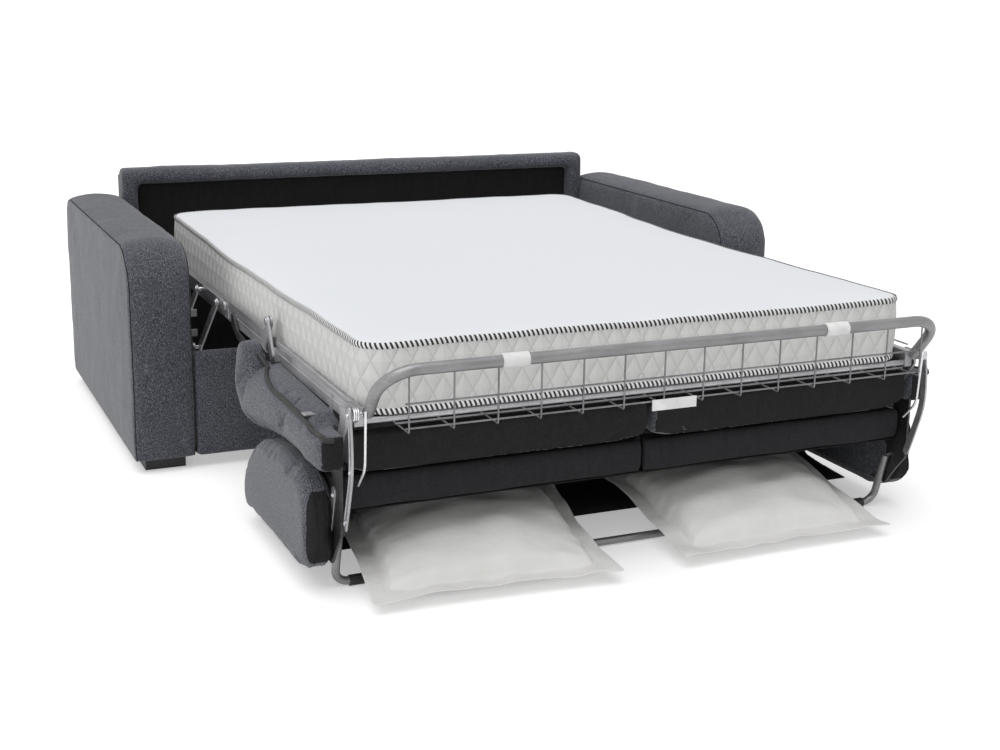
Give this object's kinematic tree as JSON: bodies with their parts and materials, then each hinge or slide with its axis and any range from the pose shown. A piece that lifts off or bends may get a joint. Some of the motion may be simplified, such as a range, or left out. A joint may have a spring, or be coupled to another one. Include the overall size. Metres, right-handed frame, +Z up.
{
  "type": "sleeper sofa with pull-out bed",
  "caption": "Upholstered sleeper sofa opened into a bed: folding deck and mattress, upturned seat and back, wire guard rail, floor leg and pillows.",
  "frame": {"origin": "centre of the open bed's footprint on the floor, under the middle of its outline", "axes": "+X to the sofa's left arm as seen by a sitter facing away from the back, that is to the right in a front view; +Y towards the back rest; +Z up"},
  "size_m": [1.98, 2.2662, 0.702],
  "materials": {
    "upholstery": "heathered weave",
    "dark_lining": "matte",
    "board": "raw plywood",
    "grey_steel": "satin",
    "dark_steel": "satin",
    "bright_steel": "polished",
    "white_plastic": "smooth",
    "black_plastic": "smooth",
    "black_rubber": "matte",
    "mattress_ticking": "quilted ticking",
    "pillow_cotton": "cotton"
  },
  "bodies": {
    "base": {"arm_frame_left": "board", "arm_frame_right": "board", "arm_cover_left": "upholstery", "arm_cover_right": "upholstery", "feet": "black_plastic", "front_panel_board": "board", "front_panel_cover": "upholstery", "back_border_pad": "upholstery", "back_lining_panel": "dark_lining", "back_rear_board": "board", "strut_carriers": "grey_steel", "base_ladders": "grey_steel", "base_cross_tubes": "grey_steel", "base_side_rails": "grey_steel", "base_pivot_pins": "bright_steel"},
    "front_struts": {"front_strut_left": "grey_steel", "front_strut_right": "grey_steel"},
    "rear_struts": {"rear_strut_left": "grey_steel", "rear_strut_right": "grey_steel"},
    "middle_section": {"middle_frame": "grey_steel", "middle_slats": "board", "middle_hinge_plates": "dark_steel", "middle_extensions": "grey_steel", "middle_hinge_pins": "bright_steel", "middle_side_bars": "grey_steel", "middle_link_bars": "dark_steel", "mattress_middle": "mattress_ticking"},
    "head_section": {"head_frame": "grey_steel", "head_slats": "board", "head_hinge_pins": "bright_steel", "mattress_head": "mattress_ticking"},
    "foot_section": {"foot_frame": "grey_steel", "foot_slats": "board", "foot_hinge_plates": "dark_steel", "back_hinge_brackets": "dark_steel", "guard_brackets": "grey_steel", "seat_strips": "grey_steel", "seat_cushion_left": "upholstery", "seat_cushion_right": "upholstery", "seat_base_board": "board", "mattress_foot": "mattress_ticking"},
    "folding_back": {"back_wing_left": "upholstery", "back_wing_right": "upholstery", "back_side_plate_left": "dark_steel", "back_side_plate_right": "dark_steel", "back_cushion_left": "upholstery", "back_cushion_right": "upholstery", "back_lower_board": "dark_lining", "pocket_ceiling_board": "dark_lining", "back_hinge_pins": "bright_steel", "pillow_left": "pillow_cotton", "pillow_right": "pillow_cotton"},
    "guard_rail": {"guard_tube": "grey_steel", "guard_hinge_pins": "bright_steel", "wire_basket": "bright_steel", "guard_clips": "white_plastic", "basket_plate": "white_plastic"},
    "leg_unit": {"leg_frame": "grey_steel", "leg_hinge_pins": "bright_steel", "leg_rubber_sleeves": "black_rubber"}
  },
  "joints": [
    {"name": "bed_fold", "type": "hinge", "parent": "base", "child": "front_struts", "pos_m": [0, 0.3804, 0.2628], "axis": [1, 0, 0], "range_deg": [-147.6, 0], "deforming": ["mattress_head", "mattress_middle", "mattress_foot", "pillow_left", "pillow_right"]},
    {"name": "rear_strut_swing", "type": "hinge", "parent": "base", "child": "rear_struts", "pos_m": [0, 0.5804, 0.2628], "axis": [1, 0, 0], "range_deg": [-147.6, 0]},
    {"name": "middle_section_swing", "type": "hinge", "parent": "front_struts", "child": "middle_section", "pos_m": [0, 0.1531, 0.44], "axis": [1, 0, 0], "range_deg": [0, 147.6]},
    {"name": "head_section_fold", "type": "hinge", "parent": "middle_section", "child": "head_section", "pos_m": [0, 0.3531, 0.44], "axis": [1, 0, 0], "range_deg": [0, 87]},
    {"name": "foot_section_fold", "type": "hinge", "parent": "middle_section", "child": "foot_section", "pos_m": [0, -0.3769, 0.5], "axis": [1, 0, 0], "range_deg": [-180, 0]},
    {"name": "folding_back_swing", "type": "hinge", "parent": "foot_section", "child": "folding_back", "pos_m": [0, -0.9309, 0.341], "axis": [1, 0, 0], "range_deg": [-93, 0]},
    {"name": "guard_rail_fold", "type": "hinge", "parent": "foot_section", "child": "guard_rail", "pos_m": [0, -1.0239, 0.44], "axis": [1, 0, 0], "range_deg": [-64, 0]},
    {"name": "leg_fold", "type": "hinge", "parent": "folding_back", "child": "leg_unit", "pos_m": [0, -0.9149, 0.15], "axis": [1, 0, 0], "range_deg": [-118, 0]}
  ],
  "couplings": [
    {"joint": "rear_strut_swing", "follows": "bed_fold", "ratio": 1},
    {"joint": "middle_section_swing", "follows": "bed_fold", "ratio": -1},
    {"joint": "head_section_fold", "follows": "bed_fold", "ratio": -0.58943},
    {"joint": "foot_section_fold", "follows": "bed_fold", "ratio": 1.2195},
    {"joint": "folding_back_swing", "follows": "bed_fold", "ratio": 0.63008},
    {"joint": "guard_rail_fold", "follows": "bed_fold", "ratio": 0.4336},
    {"joint": "leg_fold", "follows": "bed_fold", "ratio": 0.79946}
  ]
}
